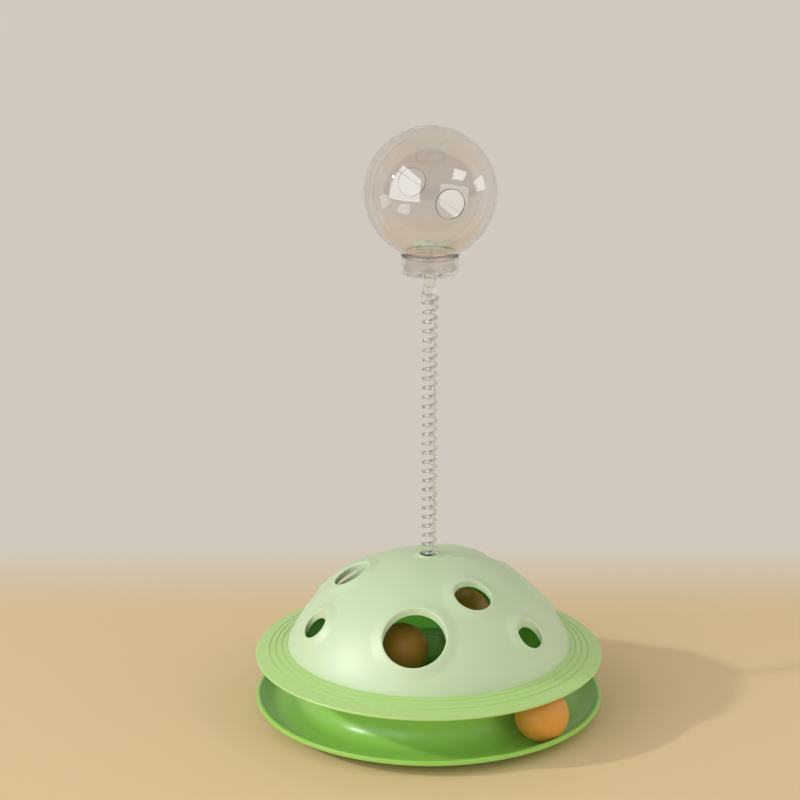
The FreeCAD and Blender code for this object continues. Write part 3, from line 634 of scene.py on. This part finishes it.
clear_wire = clear_plastic("clear_wire", (0.76, 0.745, 0.72), 2.8)
wire_r, coil_r, pitch = 0.0012, 0.0043, 0.0068
spring_low, spring_rise = 0.1065, 0.1995  # height of the coil's lower end, and of the coil itself
turns_in_all = spring_rise / pitch
flare_r = 0.0052                       # radius of the wide part of the coil on the cap's peg
flare_turns, flare_blend = 1.0, 0.75   # turns of that part, and turns over which the coil widens
wire_sides, steps_per_turn = 16, 36
# Rings of a rounded end of the wire: place along it and size, both in wire radii
wire_end = ((-0.30, 1.0), (-0.20, 0.98), (-0.08, 0.86), (-0.02, 0.62))


def wire_middle(turn):
    """The middle of the wire, at a number of turns up from its lower end."""
    share = min(max((turn - turns_in_all + flare_turns + flare_blend) / flare_blend, 0.0), 1.0)
    radius = coil_r + (flare_r - coil_r) * share * share * (3 - 2 * share)
    spin = 2 * math.pi * turn
    return Vector((radius * math.cos(spin), radius * math.sin(spin), spring_low + pitch * turn))


def wire_way(turn):
    """The direction of the wire there."""
    nudge = 0.0005
    return (wire_middle(turn + nudge) - wire_middle(turn - nudge)).normalized()


def wire_length(name, first, last, low_run, high_run):
    """A length of the coil between two turns, with rounded ends and straight runs up to them."""
    steps = int((last - first) * steps_per_turn)
    stations = []
    for step in range(steps + 1):
        turn = first + (last - first) * step / steps
        stations.append((wire_middle(turn), wire_way(turn), wire_r))
    tail, tail_way = stations[0][:2]
    tip, tip_way = stations[-1][:2]
    before = [(tail - tail_way * (low_run + along * wire_r), tail_way, wire_r * size)
              for along, size in reversed(wire_end)]
    after = [(tip + tip_way * (high_run + along * wire_r), tip_way, wire_r * size)
             for along, size in wire_end]
    if low_run == 0:
        stations = stations[1:]
    if high_run == 0:
        stations = stations[:-1]
    build = bmesh.new()
    rings = []
    for middle, way, radius in before + stations + after:
        outward = Vector((middle.x, middle.y, 0)).normalized()
        outward = (outward - way * outward.dot(way)).normalized()
        across = way.cross(outward)
        rings.append(add_ring(build, [middle + (outward * math.cos(a) + across * math.sin(a)) * radius
                                      for a in equal_turns(wire_sides)]))
    join_rings(build, rings)
    build.faces.new(rings[0])
    build.faces.new(rings[-1])
    return as_piece(build, name, None, [clear_wire], sharp=60)


meeting, meeting_gap = 16.25, 0.001    # in turns up from the lower end
straight_run = 2 * wire_r
spring_lower = wire_length("spring_lower", 0.0, meeting, straight_run, 0.0)
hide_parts("wobble_spring")
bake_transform(spring_lower)
spring_upper = wire_length("spring_upper", meeting + meeting_gap, turns_in_all, 0.0, straight_run)
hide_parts("wobble_spring")
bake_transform(spring_upper)

# Cap. The clear round cup under the treat ball, with its stem and the peg that the spring is wound on.
# A thin dark line is painted along the top edge of its wall, under the ball's flange, as painted shade.
clear_cap = clear_plastic("clear_cap", (0.985, 0.970, 0.950), 1.85)
# Near-black colour painted along thin edges of clear plastic, as painted shade.
painted_edge_shade = (0.02, 0.015, 0.012, 1)
cap_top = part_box("ball_cap")[1].z
clear_under, painted_shade_under = 0.00040, 0.00005  # depths under the cap's top over which the painted shade line comes in


def painted_shade_edge(paint, place, clear_at, painted_shade_at):
    """Paints shade into a clear plastic's colour, from one value of a place's measure to another."""
    tree = paint.node_tree
    shader = tree.nodes["Principled BSDF"]
    span = {"Value": place, "From Min": clear_at, "From Max": painted_shade_at}
    share = add_node(tree, "MapRange", span)["Result"]
    tint = tuple(shader.inputs["Base Color"].default_value)
    fill_inputs(tree, shader, {"Base Color": mixed_colour(tree, share, tint, painted_edge_shade)})


tree = clear_cap.node_tree
place = add_node(tree, "TexCoord", {})["Object"]
height = add_node(tree, "SeparateXYZ", {"Vector": place})["Z"]
painted_shade_edge(clear_cap, height, cap_top - clear_under, cap_top - painted_shade_under)
finish_node("ball_cap", clear_cap)

# Treat ball. A thin hollow sphere of clear, slightly smoky plastic with two treat holes, on a flange
# and a neck that turns into the cap. A thin dark line is painted round the cut edge of each hole, as painted
# shade.
clear_ball = clear_plastic("clear_ball", (0.925, 0.900, 0.875), 1.75)
treat_r, treat_hole_r = 0.0460, 0.0100
clear_beyond, painted_shade_beyond = 0.0003, 0.0001  # distances outside the wall of a treat hole, over which the painted shade line comes in
treat_hole_turn = math.radians(16.6)   # turn of the holes' axis from the front
treat_middle = (0, 0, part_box("treat_ball")[1].z - treat_r)
hole_axis = (math.sin(treat_hole_turn), -math.cos(treat_hole_turn), 0)
tree = clear_ball.node_tree
place = add_node(tree, "TexCoord", {})["Object"]
out = add_node(tree, "VectorMath", {0: place, 1: treat_middle}, operation="SUBTRACT")["Vector"]
aside = add_node(tree, "VectorMath", {0: out, 1: hole_axis}, operation="CROSS_PRODUCT")["Vector"]
off_axis = add_node(tree, "VectorMath", {0: aside}, operation="LENGTH")["Value"]
# A thin dark line of shade is painted round the wall of each treat hole.
painted_shade_edge(clear_ball, off_axis, treat_hole_r + clear_beyond, treat_hole_r + painted_shade_beyond)
finish_node("treat_ball", clear_ball)
